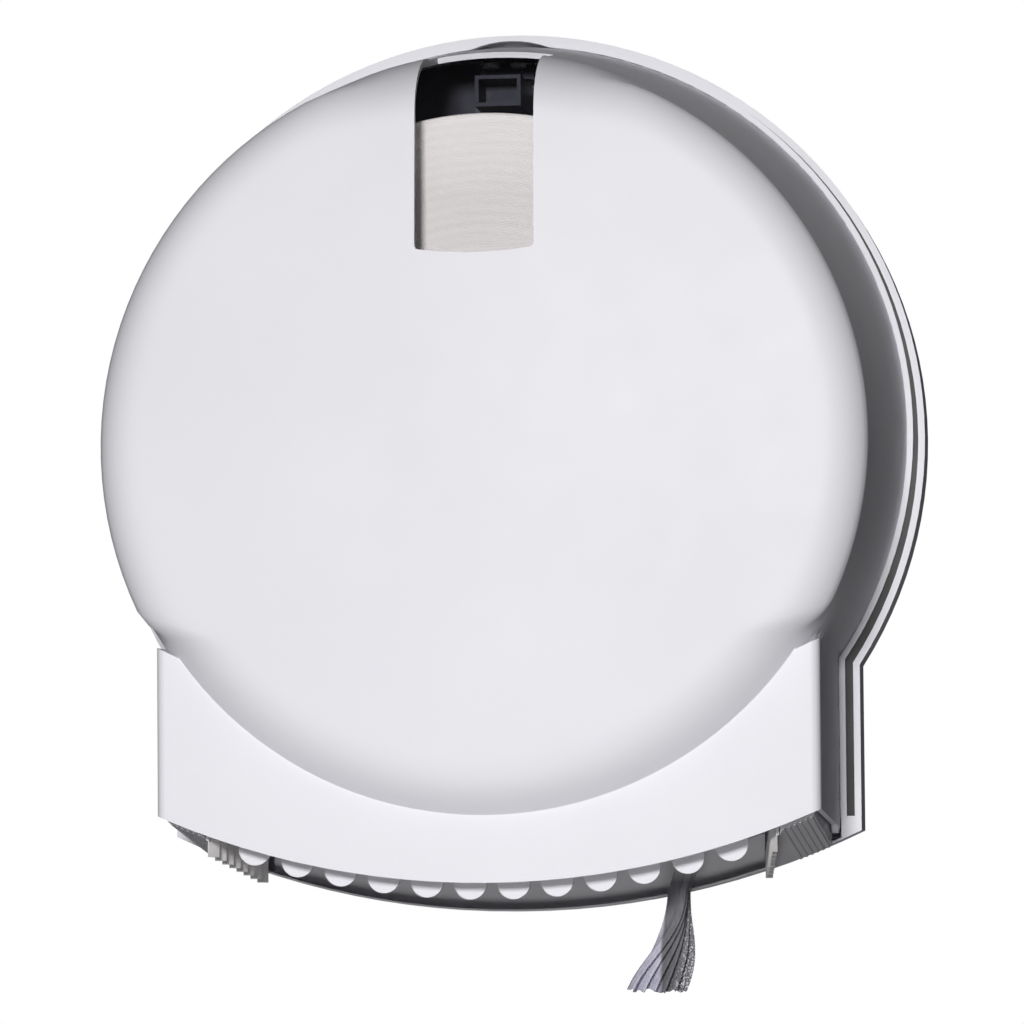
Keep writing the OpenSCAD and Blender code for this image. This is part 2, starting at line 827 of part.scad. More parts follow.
// ---- Paper tail ----
tail_gap = 0.4;
tail_t = 0.8;
neck = [72, -196];            // where the gathered paper leaves the outlet, in X and Z
tail_end = [62, -238.5];      // middle of the torn end
neck_depth = 28;
neck_half = 6;
tail_stations = 24;
tail_cross = 22;
module paper_tail() color("lavender") tail_surface();
module tail_surface() {
    c = [0, spindle_rise];
    line_r = roll_r + tail_gap + tail_t / 2;
    span = norm(neck - c);
    // angle at which the free paper leaves the roll
    leave = atan2(neck[1] - c[1], neck[0] - c[0]) + acos(line_r / span);
    start = c + line_r * [cos(leave), sin(leave)];
    roll_mid = roll_start + roll_w / 2;
    // path point: on the web for s in 0 to 1, on the hanging tail for s in 1 to 2
    function path(s) = s < 1 ? start + (neck - start) * s
        : neck + (tail_end - neck) * (s - 1) + [2.5 * sin(180 * (s - 1)), 0];
    function ease(s) = s * s * (3 - 2 * s);
    function half_w(s) = s < 1 ? roll_w / 2 - 1 - (roll_w / 2 - 1 - neck_half) * ease(s)
        : neck_half + 6.5 * ease(min(1, s - 1));
    function depth_mid(s) = s < 1 ? roll_mid + (neck_depth - roll_mid) * ease(s) : neck_depth;
    function fold(s) = s < 1 ? 2.6 * ease(s) : 2.6;
    function turn(s) = s < 1 ? 0 : 58 * ease(min(1, s - 1));
    function across(s, u) = let(p = path(s), h = half_w(s) * u,
                                f = fold(s) * sin(520 * u + 40 * s),
                                torn = s > 1.99 ? 2.2 * sin(900 * u) + 1.3 * sin(410 * u) : 0)
        [p[0] + f * cos(turn(s)) + h * sin(turn(s)),
         -depth_mid(s) + h * cos(turn(s)) - f * sin(turn(s)) * 0.6, p[1] + torn];
    function station(k) = k < tail_stations / 2 ? k / (tail_stations / 2)
        : 1 + (k - tail_stations / 2) / (tail_stations / 2 - 1);
    points = [for (layer = [-1, 1], k = [0 : tail_stations - 1], j = [0 : tail_cross])
        let(s = station(k), u = 2 * j / tail_cross - 1, lean = s < 1 ? leave * (1 - s) : 0)
            across(s, u) + layer * tail_t / 2 * [cos(turn(s)) * cos(lean), -sin(turn(s)) * 0.6, sin(lean)]];
    row = tail_cross + 1;
    all = row * tail_stations;
    faces = concat(
        [for (k = [0 : tail_stations - 2], j = [0 : tail_cross - 1], half = [0, 1])
            let(a = k * row + j, b = a + 1, c2 = a + row, d = c2 + 1) half == 0 ? [a, b, d] : [a, d, c2]],
        [for (k = [0 : tail_stations - 2], j = [0 : tail_cross - 1], half = [0, 1])
            let(a = all + k * row + j, b = a + 1, c2 = a + row, d = c2 + 1) half == 0 ? [a, d, b] : [a, c2, d]],
        [for (k = [0 : tail_stations - 2], edge = [0, tail_cross], half = [0, 1])
            let(a = k * row + edge, b = a + row, a2 = a + all, b2 = b + all)
                edge == 0 ? (half == 0 ? [a, b, b2] : [a, b2, a2]) : (half == 0 ? [a, b2, b] : [a, a2, b2])],
        [for (j = [0 : tail_cross - 1], end = [0, tail_stations - 1], half = [0, 1])
            let(a = end * row + j, b = a + 1, a2 = a + all, b2 = b + all)
                end == 0 ? (half == 0 ? [a, b2, b] : [a, a2, b2]) : (half == 0 ? [a, b, b2] : [a, b2, a2])]);
    polyhedron(points, faces, convexity = 8);
}

// ---- Lock ----
catch_half_w = 11;
catch_back = 20;
catch_t = 3;
catch_web_t = 2.4;
catch_drop = 14.4;            // from the top of the cover down to the catch's lower edge
catch_low = rise_at(catch_back) + radius_at(catch_back) - catch_drop;
lock_low = catch_low - lock_to_catch - lock_h;
latch_half_w = 6;
latch_room = 1;               // beside the latch in its housing
stem_back = plate_t + 2;
stem_front = stem_back + 4;
latch_rest_gap = 0.5;
arm_t = 3;
arm_low = lock_low + lock_h - 1.5 - latch_rest_gap - arm_t;
tooth_back = catch_back + catch_t + 0.6;
tooth_front = tooth_back + 3.4;

// Housing on the back plate that guides the latch, with a broad shield around it
shield_half_w = 46;
shield_drop = 9.5;
module lock_housing() color("midnightblue") difference() {
    union() {
        box([-lock_half_w, lock_half_w], [plate_t + seat, lock_depth], [lock_low, lock_low + lock_h]);
        facing(plate_t + seat, plate_t + seat + 2)
            difference() {
                intersection() {
                    cover_outline(1);
                    translate([-shield_half_w, lock_low - shield_drop])
                        square([2 * shield_half_w, far]);
                }
                // way for the latch's head
                translate([-head_half_w - 1.5, lock_low + lock_h - 1])
                    square([2 * head_half_w + 3, far]);
            }
    }
    // room for the latch and its spring
    box([-latch_half_w - latch_room, latch_half_w + latch_room], [stem_back - 0.5, tooth_front + 7],
        [lock_low + 1.5, lock_low + lock_h - 1.5]);
    // ways out for the stem and the tooth
    box([-latch_half_w - latch_room, latch_half_w + latch_room], [stem_back - 0.5, stem_front + 1],
        [lock_low + 2, far]);
    box([-latch_half_w - latch_room, latch_half_w + latch_room], [tooth_back - 0.6, tooth_front + 0.6],
        [lock_low + 2, far]);
    // open pocket in front
    box([1.6 - lock_half_w, lock_half_w - 1.6], [tooth_front + 9, far],
        [lock_low + 1.6, lock_low + lock_h - 1.6]);
    at_lock_screws()
        round_facing(0, 20, screw_r + running_gap, 24);
}
module at_lock_screws() {
    for (side = [-1, 1])
        translate([side * (lock_half_w + 5), 0, lock_low + lock_h / 2])
            children();
}
module lock_screws() color("silver")
    at_lock_screws()
        screw(plate_t + seat + 2, seat + 3.8);

// Latch: a ramped head under the key slot, a stem, an arm and the tooth that holds the cover
head_half_w = key_slot_half_w - 3.2;
head_top = cover_base_rise + cover_base_r + mouth_gap - 0.4;
module latch_slider() color("lightsteelblue") {
    box([-latch_half_w, latch_half_w], [stem_back, stem_front], [arm_low, head_top - 8]);
    box([-latch_half_w, latch_half_w], [stem_back, tooth_front], [arm_low, arm_low + arm_t]);
    // tooth, with a slope that lets the cover push it down as it closes
    translate([-latch_half_w, 0, 0])
        rotate([90, 0, 90])
            linear_extrude(2 * latch_half_w)
                polygon([[-tooth_back, arm_low], [-tooth_front, arm_low], [-tooth_front, catch_low - 0.5],
                         [-tooth_back - 1, catch_low + 3.5], [-tooth_back, catch_low + 3.5]]);
    // head with a ramp that the key pushes down
    translate([-head_half_w, 0, 0])
        rotate([90, 0, 90])
            linear_extrude(2 * head_half_w)
                polygon([[0.5 - stem_back, head_top - 9], [-stem_front - 2.5, head_top - 9],
                         [-stem_front - 2.5, head_top - 7], [-stem_back - 0.5, head_top - 1],
                         [0.5 - stem_back, head_top - 1]]);
}

// Return spring under the latch's arm: one unbroken coil
coil_r = 2.6;
wire_r = 0.35;
coil_turns = 3;
module latch_spring() color("silver") spring_coil();
module spring_coil() {
    low = lock_low + 1.5 + wire_r;
    high = arm_low - wire_r;
    steps = 16 * coil_turns;
    sides = 6;
    function centre(i) = let(a = 360 * coil_turns * i / steps)
        [coil_r * cos(a), -16 - coil_r * sin(a), low + (high - low) * i / steps];
    points = [for (i = [0 : steps], j = [0 : sides - 1])
        let(a = 360 * coil_turns * i / steps, b = 360 * j / sides)
            centre(i) + wire_r * [cos(b) * cos(a), -cos(b) * sin(a), sin(b)]];
    faces = concat(
        [[for (j = [0 : sides - 1]) j]],
        [for (i = [0 : steps - 1], j = [0 : sides - 1])
            let(n = (j + 1) % sides) [i * sides + j, (i + 1) * sides + j, (i + 1) * sides + n, i * sides + n]],
        [[for (j = [sides - 1 : -1 : 0]) steps * sides + j]]);
    polyhedron(points, faces, convexity = 6);
}

// ---- Cover ----

// Front cover: round dome over a square skirt, open behind and below, with hinge ears
module front_cover() color("white") difference() {
    union() {
        difference() {
            intersection() {
                union() {
                    dome();
                    skirt();
                }
                union() {
                    facing(skirt_depth - skirt_corner_r, far)
                        translate([0, cover_bottom_rise])
                            circle(bottom_r, $fn = fine);
                    above_side_edge();
                }
            }
            dome(cover_t);
            skirt(cover_t);
        }
        for (side = [-1, 1])
            hinge_ear(side);
    }
    facing(window_back, far)
        window_outline();
    for (side = [-1, 1])
        translate(axis_at)
            rotate([0, side * 90, 0])
                cylinder(h = far, r = hinge_pin_r + running_gap, $fn = 48);
    hinge_corner_cut();
}

// Everything above the lower edge of the cover's sides, which slopes down towards the wall
side_low = cover_bottom_rise - sqrt(bottom_r * bottom_r - cover_half_w * cover_half_w);
side_slope = 8;
module above_side_edge()
    translate([-far, 0, 0])
        rotate([90, 0, 90])
            linear_extrude(2 * far)
                polygon([[skirt_corner_r - skirt_depth - 1, side_low],
                         [skirt_corner_r - skirt_depth, side_low], [1, side_low - side_slope],
                         [1, far], [skirt_corner_r - skirt_depth - 1, far]]);

// Round ear on the cover's side, around the hinge pin
module hinge_ear(side) {
    translate(axis_at)
        rotate([0, side * 90, 0])
            translate([0, 0, cover_half_w - cover_t])
                cylinder(h = cover_t, r = hinge_ear_r, $fn = 48);
}

// Rounds the rear lower corners about the hinge axis, so the cover can swing
module hinge_corner_cut() difference() {
    box([-far, far], [0, hinge_depth], [-far, -hinge_drop + hinge_ear_r + 1.9]);
    translate(axis_at)
        rotate([0, 90, 0])
            cylinder(h = 2 * far, r = hinge_ear_r + 1.9, center = true, $fn = 96);
}

// Clear window in the cover's front and top, held by a flange inside
module window() color("dimgray", 0.5) difference() {
    union() {
        intersection() {
            dome();
            facing(window_back + window_gap, far)
                window_outline(-window_gap);
        }
        intersection() {
            dome(shell_in);
            facing(window_back - window_flange, far)
                window_outline(window_flange);
        }
    }
    dome(shell_in + 1.2);
}

// Catch under the cover's top that the latch holds
module cover_catch() color("lightgray") intersection() {
    dome(shell_in);
    union() {
        box([-catch_half_w, catch_half_w], [catch_back, catch_back + catch_t], [catch_low, far]);
        difference() {
            box([-catch_half_w, catch_half_w], [catch_back, catch_back + 22], [catch_low, far]);
            dome(shell_in + catch_web_t);
        }
    }
}

// Round stakes of the cover, melted over to hold the catch
stake_depth = catch_back + 15;
stake_top = rise_at(stake_depth) + radius_at(stake_depth) - shell_in - catch_web_t - seat - 0.95;
module catch_stakes() color("white")
    for (side = [-1, 1])
        translate([side * 6, -stake_depth, stake_top - head_h])
            cylinder(h = head_h, r = head_r, $fn = 32);

back_plate();
outlet_floor();
floor_screws();
tear_comb();
tear_rail();
tooth_strip_left();
tooth_strip_right();
strip_rivets();
hinge_pin_left();
hinge_pin_right();
spindle_post();
post_screws();
spindle_washer();
spindle_screw();
brake_spring();
brake_screw();
lock_housing();
lock_screws();
latch_slider();
latch_spring();
front_cover();
window();
cover_catch();
catch_stakes();
roll_hub();
hub_cap();
roll_core();
tissue_roll();
paper_tail();
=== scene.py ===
"""A wall-mounted dispenser for one jumbo toilet roll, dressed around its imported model.

All lengths are in metres, in the model's own frame: X to the right, Z up, and the wall is Y = 0.
"""

import math

import bmesh
import bpy
from mathutils import Matrix, Vector, noise


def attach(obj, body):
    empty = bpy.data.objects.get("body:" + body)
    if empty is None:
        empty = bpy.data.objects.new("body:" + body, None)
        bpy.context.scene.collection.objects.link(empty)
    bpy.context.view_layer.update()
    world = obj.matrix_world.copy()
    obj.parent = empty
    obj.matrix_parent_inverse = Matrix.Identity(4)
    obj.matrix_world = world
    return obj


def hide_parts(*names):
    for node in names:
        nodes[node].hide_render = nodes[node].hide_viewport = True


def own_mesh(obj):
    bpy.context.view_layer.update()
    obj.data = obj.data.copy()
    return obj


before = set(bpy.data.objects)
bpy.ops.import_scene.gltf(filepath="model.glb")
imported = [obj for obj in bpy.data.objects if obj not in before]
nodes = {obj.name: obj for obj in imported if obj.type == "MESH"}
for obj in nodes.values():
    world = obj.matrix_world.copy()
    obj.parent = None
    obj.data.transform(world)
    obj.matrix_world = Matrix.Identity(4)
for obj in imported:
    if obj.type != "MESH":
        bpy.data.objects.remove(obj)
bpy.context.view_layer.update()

# ---- Camera and light ----
# The photograph is taken with a long lens from 2.5 m, a little to the right and from below.
# Its lens, place and turn were worked out from the outlines of plate and cover.

turn, tilt, roll_over = math.radians(8.35), math.radians(4.09), math.radians(-0.46)
lens, film_width = 198.85, 36
camera_place = (0.35712, -2.45762, -0.20613)
ahead = Vector((-math.sin(turn), math.cos(turn), 0))
forward = ahead * math.cos(tilt) + Vector((0, 0, math.sin(tilt)))
level_right = Vector((math.cos(turn), math.sin(turn), 0))
level_up = level_right.cross(forward)
right = level_right * math.cos(roll_over) + level_up * math.sin(roll_over)
up = level_up * math.cos(roll_over) - level_right * math.sin(roll_over)

camera = bpy.data.objects.new("camera", bpy.data.cameras.new("camera"))
camera.data.lens = lens
camera.data.sensor_width = film_width
camera.data.clip_end = 50
facing = Matrix((right, up, -forward)).transposed().to_4x4()
camera.matrix_world = Matrix.Translation(camera_place) @ facing
bpy.context.scene.collection.objects.link(camera)
bpy.context.scene.camera = camera
bpy.context.scene.view_settings.view_transform = "Standard"


def soft_light(name, place, aim, size, power):
    """A square soft box that looks at a point."""
    lamp = bpy.data.lights.new(name, "AREA")
    lamp.size = size
    lamp.energy = power
    box = bpy.data.objects.new(name, lamp)
    box.location = place
    box.rotation_euler = (Vector(aim) - Vector(place)).to_track_quat("-Z", "Y").to_euler()
    bpy.context.scene.collection.objects.link(box)


# The main soft box stands in front, a little above the camera's line.  A small one lights the
# plate's back, and a weak one below stands for the light that a pale floor throws up.
soft_light("front_light", (0.04, -2.97, 0.34), (0, 0, 0), 0.34, 61)
soft_light("back_light", (0.0, 2.80, -0.05), (0, 0, 0), 0.25, 22)
soft_light("floor_bounce", (0.0, -0.80, -0.95), (0, -0.06, -0.20), 0.6, 4.5)

# All round it is white where the camera looks past the dispenser, and dim as a light.
world = bpy.data.worlds.new("studio")
world.use_nodes = True
bpy.context.scene.world = world
shown = world.node_tree.nodes.new("ShaderNodeBackground")
shown.inputs["Color"].default_value = (1, 1, 1, 1)
shown.inputs["Strength"].default_value = 1.0
room = world.node_tree.nodes["Background"]
room.inputs["Color"].default_value = (0.93, 0.94, 1, 1)
room.inputs["Strength"].default_value = 0.06
rays = world.node_tree.nodes.new("ShaderNodeLightPath")
either = world.node_tree.nodes.new("ShaderNodeMixShader")
world_end = world.node_tree.nodes["World Output"]
for source, target in (
    (rays.outputs["Is Camera Ray"], either.inputs[0]),
    (room.outputs[0], either.inputs[1]),
    (shown.outputs[0], either.inputs[2]),
    (either.outputs[0], world_end.inputs["Surface"]),
):
    world.node_tree.links.new(source, target)

# ---- Back plate ----
# The white moulded plate on the wall, with its raised and grooved rim and the opening for the
# key.  One injection moulding in satin white plastic, fixed with four wall screws.


class Shade:
    """A number, colour or vector on its way through a material's nodes."""

    def __init__(self, tree, socket=None):
        self.tree = tree
        self.socket = socket

    def node(self, kind, settings=None, out=0, **inputs):
        """One node: its settings first, then the values or links of its sockets."""
        made = self.tree.nodes.new("ShaderNode" + kind)
        for name, value in (settings or {}).items():
            setattr(made, name, value)
        for name, value in inputs.items():
            numbered = name.startswith("in") and name[2:].isdigit()
            socket = made.inputs[int(name[2:]) if numbered else name.replace("_", " ")]
            if isinstance(value, Shade):
                self.tree.links.new(value.socket, socket)
            else:
                socket.default_value = value
        return Shade(self.tree, made.outputs[out])

    def math(self, operation, other=0.0):
        """A Math node on this number and another."""
        return self.node("Math", {"operation": operation}, in0=self, in1=other)

    def __add__(self, other):
        return self.math("ADD", other)

    def __mul__(self, other):
        return self.math("MULTIPLY", other)

    __radd__, __rmul__ = __add__, __mul__

    def clamp(self, low, high):
        """0 below low, 1 above high, and a straight rise between them."""
        return self.node(
            "MapRange", Value=self, From_Min=low, From_Max=high, To_Min=0.0, To_Max=1.0
        )

    def between(self, a, b):
        """The colour that lies this far from a to b."""
        a, b = (end if isinstance(end, Shade) else (*end, 1) for end in (a, b))
        return self.node("Mix", {"data_type": "RGBA"}, out=2, in0=self, in6=a, in7=b)


def material(name):
    """A new material, its surface shader's node, and the place in the model as a Shade."""
    made = bpy.data.materials.new(name)
    made.use_nodes = True
    tree = made.node_tree
    place = Shade(tree).node("TexCoord", out=3)
    return made, tree.nodes["Principled BSDF"], place


def feed(shader, **values):
    """Sets or links the surface shader's sockets."""
    for name, value in values.items():
        socket = shader.inputs[name.replace("_", " ")]
        if isinstance(value, Shade):
            value.tree.links.new(value.socket, socket)
        else:
            socket.default_value = value


def speckle(place, scale, detail):
    """Even random spots, scale to the metre."""
    return place.node("TexNoise", Vector=place, Scale=scale, Detail=detail)


def relief(place, height, strength, distance):
    """A bumped normal from a height."""
    return place.node("Bump", Height=height, Strength=strength, Distance=distance)


def show(name, mesh, finish):
    """An object that shows a mesh in one material."""
    mesh.materials.clear()
    mesh.materials.append(finish)
    piece = bpy.data.objects.new(name, mesh)
    bpy.context.scene.collection.objects.link(piece)
    return piece


merge_distance, flat_angle = 0.000004, 0.0004


def smooth_copy(name, node, finish, body, angle=28):
    """A copy of a CAD node, merged and shaded smooth up to an angle, which stands for it."""
    mesh = nodes[node].data.copy()
    mesh.name = name
    form = bmesh.new()
    form.from_mesh(mesh)
    bmesh.ops.remove_doubles(form, verts=form.verts, dist=merge_distance)
    bmesh.ops.dissolve_degenerate(form, dist=merge_distance, edges=form.edges)
    bmesh.ops.dissolve_limit(form, angle_limit=flat_angle, verts=form.verts, edges=form.edges)
    form.to_mesh(mesh)
    form.free()
    mesh.shade_smooth()
    mesh.set_sharp_from_angle(angle=math.radians(angle))
    piece = show(name, mesh, finish)
    even = piece.modifiers.new("even_shading", "WEIGHTED_NORMAL")
    even.keep_sharp = True
    even.weight = 80
    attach(piece, body)
    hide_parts(node)
    return piece


white, surface, place = material("white_shell")
cloud = speckle(place, 9, 3).clamp(0.3, 0.7).between((0.80, 0.79, 0.83), (0.83, 0.82, 0.86))
# Painted shade: the groove's floor is drawn near black, standing in for the shadow in the gap.
painted_groove_shade = place.node("Attribute", {"attribute_name": "painted_shade_in_groove"}, out=2)
feed(
    surface,
    Base_Color=painted_groove_shade.between(cloud, (0.035, 0.033, 0.036)),
    Roughness=speckle(place, 60, 4).clamp(0.3, 0.8) * 0.06 + 0.44,
    Normal=relief(place, speckle(place, 1400, 2) * 0.3 + speckle(place, 26, 1), 0.12, 0.0002),
)
surface.inputs["Specular IOR Level"].default_value = 0.25

# The narrow groove in the rim is a deep gap, and its shade is painted: the faces of its floor
# are marked, and the white turns dark where the mark is.
wall_plate = smooth_copy("wall_plate", "back_plate", white, "base", 12)
groove_floor, level_within = -0.0176, 0.00002
mark = wall_plate.data.attributes.new("painted_shade_in_groove", "FLOAT", "FACE")
for face in wall_plate.data.polygons:
    depths = [wall_plate.data.vertices[corner].co.y for corner in face.vertices]
    off = max(abs(depth - groove_floor) for depth in depths)
    mark.data[face.index].value = off < level_within

# ---- Front cover ----
# The round domed cover with its square skirt: one thin injection moulding in the same satin
# white, hung on two pins at its lower rear corners.

cover_angle = 26
cover = smooth_copy("cover_shell", "front_cover", white, "cover", cover_angle)

# The face meets the side wall at a crisp edge: the wall runs on to the edge's foot, and a short
# arc turns from there to the face.  The part around the window and the hook stays as it is.
side_depth, front_depth, rim_radius, face_radius = 0.084, 0.126, 0.1655, 0.136
rim_rise, foot_turn, arc_turn, arc_radius = -0.0035, math.radians(48), math.radians(62), 0.0204
wall_slope, lean_slope, still_radius = 0.08, 0.0954, 0.109
still_below, moved_above = -0.095, -0.070
still_across, moved_across = 0.034, 0.070
foot_depth = side_depth + (front_depth - side_depth) * math.sin(foot_turn)
foot_radius = rim_radius - wall_slope * (foot_depth - side_depth)


def fade(value, start, end):
    """Rises smoothly from 0 at start to 1 at end."""
    value = min(1.0, max(0.0, (value - start) / (end - start)))
    return value * value * (3 - 2 * value)


def edge_shift(depth, radius):
    """How far outwards, forwards and down a point of the round edge moves."""
    deep, wide = front_depth - side_depth, rim_radius - face_radius
    turn = math.atan2(max(0.0, depth - side_depth) / deep, max(0.0, radius - face_radius) / wide)
    old_radius = face_radius + wide * math.cos(turn)
    old_depth = side_depth + deep * math.sin(turn)
    if turn <= foot_turn:
        new_depth = old_depth
        new_radius = rim_radius - wall_slope * (old_depth - side_depth)
    else:
        left = arc_turn * (math.pi / 2 - turn) / (math.pi / 2 - foot_turn)
        new_radius = foot_radius - arc_radius * (math.sin(arc_turn) - math.sin(left))
        new_depth = foot_depth + arc_radius * (math.cos(left) - math.cos(arc_turn))
    drop = lean_slope * (min(old_depth, foot_depth) - side_depth)
    return new_radius - old_radius, new_depth - old_depth, drop


form = bmesh.new()
form.from_mesh(cover.data)
for vert in form.verts:
    across, depth, height = vert.co.x, -vert.co.y, vert.co.z - rim_rise
    radius = math.hypot(across, height)
    if depth > side_depth and radius > still_radius:
        outward, onward, drop = edge_shift(depth, radius)
        part = fade(radius, still_radius, face_radius)
        part *= fade(vert.co.z, still_below, moved_above)
        if height > 0:
            part *= fade(abs(across), still_across, moved_across)
        sideways, upward = outward * across / radius, outward * height / radius
        vert.co += part * Vector((sideways, -onward, upward - drop))
form.to_mesh(cover.data)
form.free()
cover.data.set_sharp_from_angle(angle=math.radians(cover_angle))


def plastic(name, dark, light, spots, gloss, grain):
    """A plain plastic with spots of two near tones, to the metre, and an even fine grain.

    gloss is the scale, span and least value of its roughness.
    """
    made, surface, place = material(name)
    scale, span, least = gloss
    feed(
        surface,
        Base_Color=speckle(place, spots, 3).clamp(0.3, 0.7).between(dark, light),
        Roughness=speckle(place, scale, 3) * span + least,
        Normal=relief(place, speckle(place, grain, 2), 0.2, 0.0001),
    )
    return made, surface


inner, _ = plastic(
    "inner_plastic", (0.72, 0.71, 0.74), (0.77, 0.76, 0.79), 30, (200, 0.12, 0.44), 2200
)
smooth_copy("hook_stakes", "catch_stakes", inner, "cover")

# ---- Window ----
# A pane of smoke-grey clear plastic, curved with the cover's top.  It lies flush in the cover,
# and a flange behind the opening holds it.

smoke, surface, place = material("smoke_window")
feed(
    surface,
    Base_Color=(0.10, 0.09, 0.10, 1),
    Roughness=speckle(place, 40, 2).clamp(0.35, 0.8) * 0.05 + 0.04,
    Alpha=speckle(place, 14, 1).clamp(0.2, 0.8) * 0.01 + 0.02,
    Normal=relief(place, speckle(place, 22, 1), 0.12, 0.0004),
)
smooth_copy("smoke_pane", "window", smoke, "cover", 26)

# ---- Lock ----
# A dark blue-black moulding, fixed with two blackened screws, that guides the bolt.  The key
# presses the bolt down against its spring, and the hook inside the cover comes free.

dull_gloss = 0.12
navy, surface = plastic(
    "lock_plastic", (0.010, 0.011, 0.024), (0.016, 0.018, 0.036), 60, (300, 0.15, 0.35), 1800
)
surface.inputs["Specular IOR Level"].default_value = dull_gloss
smooth_copy("lock_case", "lock_housing", navy, "base")
smooth_copy("cover_hook", "cover_catch", navy, "cover")
slate, surface = plastic(
    "latch_plastic", (0.010, 0.013, 0.020), (0.016, 0.020, 0.030), 80, (300, 0.15, 0.5), 1800
)
surface.inputs["Specular IOR Level"].default_value = dull_gloss
smooth_copy("latch_slide", "latch_slider", slate, "latch")

steel, surface, place = material("bright_steel")
drawn = place.node("Mapping", Vector=place, Scale=(300, 300, 6000))
feed(
    surface,
    Base_Color=(0.56, 0.56, 0.58, 1),
    Metallic=1.0,
    Roughness=speckle(drawn, 1.0, 2) * 0.15 + 0.25,
    Normal=relief(place, speckle(place, 900, 3), 0.1, 0.00005),
)


def dress(node, finish):
    """Gives a CAD node its material."""
    nodes[node].data.materials.clear()
    nodes[node].data.materials.append(finish)


# The spring stands on the housing and gets a mesh of its own; in the lock it shortens by as much
# as the bolt is pressed.
spring = smooth_copy("latch_coil", "latch_spring", steel, "base", 50)
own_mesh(spring)
for node in ("hinge_pin_left", "hinge_pin_right", "brake_spring", "brake_screw",
             "floor_screws", "post_screws", "spindle_screw", "spindle_washer"):
    dress(node, steel)

black_steel, surface, place = material("black_steel")
soot = speckle(place, 400, 2).clamp(0.3, 0.7)
feed(
    surface,
    Base_Color=soot.between((0.020, 0.020, 0.024), (0.035, 0.035, 0.040)),
    Metallic=1.0,
    Roughness=speckle(place, 900, 2) * 0.15 + 0.45,
    Normal=relief(place, speckle(place, 900, 3), 0.1, 0.00005),
)
dress("lock_screws", black_steel)

# ---- Spindle and roll ----
# The post is screwed to the plate.  The grey hub turns on it and carries the cardboard tube of
# the roll, and a cap closes the hub.

grey, _ = plastic(
    "hub_plastic", (0.34, 0.35, 0.38), (0.40, 0.41, 0.44), 40, (300, 0.15, 0.4), 1800
)
smooth_copy("roll_spinner", "roll_hub", grey, "roll")
smooth_copy("spinner_cap", "hub_cap", grey, "roll")
smooth_copy("wall_post", "spindle_post", inner, "base")

board, surface, place = material("core_board")
fibre = speckle(place, 500, 4).clamp(0.3, 0.7)
feed(
    surface,
    Base_Color=fibre.between((0.30, 0.20, 0.12), (0.40, 0.28, 0.17)),
    Roughness=0.9,
    Normal=relief(place, speckle(place, 1500, 3), 0.5, 0.0002),
)
smooth_copy("roll_tube", "roll_core", board, "roll")

# The roll is turned about the spindle: its end faces step in and out a little from layer to
# layer, as slit paper does, and its rim is slightly soft.
roll_back, roll_front, roll_rise = 0.0130, 0.1010, 0.003
spin_steps, spin_merge = 180, 0.000005
roll_radius, tube_radius, soft_rim, face_dip = 0.1315, 0.0316, 0.0012, 0.0006
ring_count, soft_angles = 58, (20, 45, 70, 90)
rings = [
    tube_radius + (roll_radius - soft_rim - tube_radius) * k / ring_count
    for k in range(ring_count + 1)
]


def slit_face(face, step, radii):
    """Points across an end face, as radius and depth."""
    points = []
    for ring in radii:
        ruffle = noise.noise((ring * 260, face * 90, 3.1)) * 0.0005
        ruffle += noise.noise((ring * 1400, face * 70, 8.4)) * 0.0002
        points.append((ring, face - step * (face_dip - ruffle)))
    return points


def rim_arc(face, step, angles):
    """Points round one soft edge of the rim, as radius and depth."""
    points = []
    for angle in angles:
        out, along = math.sin(math.radians(angle)), math.cos(math.radians(angle))
        points.append((roll_radius - soft_rim * (1 - out), face + step * soft_rim * (1 - along)))
    return points


outline = slit_face(roll_back, -1, rings) + rim_arc(roll_back, 1, soft_angles)
outline += rim_arc(roll_front, -1, soft_angles[::-1]) + slit_face(roll_front, 1, rings[::-1])
form = bmesh.new()
corners = [form.verts.new((ring, -depth, roll_rise)) for ring, depth in outline]
edges = [form.edges.new(pair) for pair in zip(corners, corners[1:] + corners[:1])]
bmesh.ops.spin(form, geom=corners + edges, cent=(0, 0, roll_rise), axis=(0, 1, 0),
               angle=math.tau, steps=spin_steps, use_merge=True)
bmesh.ops.remove_doubles(form, verts=form.verts, dist=spin_merge)
bmesh.ops.recalc_face_normals(form, faces=form.faces)
roll_mesh = bpy.data.meshes.new("wound_roll")
form.to_mesh(roll_mesh)
form.free()
roll_mesh.shade_smooth()
roll_mesh.set_sharp_from_angle(angle=math.radians(50))
tissue, surface, place = material("wound_tissue")
layer_pitch, band_pitch = 0.0007, 0.0043
centred = place.node("Mapping", Vector=place, Location=(0, 0, -roll_rise))
across = centred.node("SeparateXYZ", Vector=centred)
rise = centred.node("SeparateXYZ", out=2, Vector=centred)
radius = (across * across + rise * rise).math("SQRT") + speckle(place, 30, 3) * 0.0012
ring = (radius * (math.tau / layer_pitch)).math("SINE")
band = (radius * (math.tau / band_pitch)).math("SINE")
fluff = speckle(place, 420, 4)
paper_tone = ring * 0.16 + band * 0.14 + fluff * 0.5 + 0.25
feed(
    surface,
    Base_Color=paper_tone.between((0.88, 0.83, 0.825), (0.97, 0.935, 0.93)),
    Roughness=0.95,
    Normal=relief(place, ring * 0.35 + band * 0.2 + fluff, 0.6, 0.0003),
)
wound = show("wound_roll", roll_mesh, tissue)
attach(wound, "roll")
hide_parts("tissue_roll")

# ---- Outlet ----
# The tray around the paper's way out is screwed to the plate's foot.  It carries the comb of
# tongues and the rear rail, all in white plastic, and the two strips of folded teeth, which are
# moulded in a frosted plastic and riveted to its ends.

smooth_copy("outlet_tray", "outlet_floor", inner, "base")
smooth_copy("tongue_comb", "tear_comb", white, "base")
smooth_copy("rear_rail", "tear_rail", inner, "base")
smooth_copy("strip_studs", "strip_rivets", inner, "base")

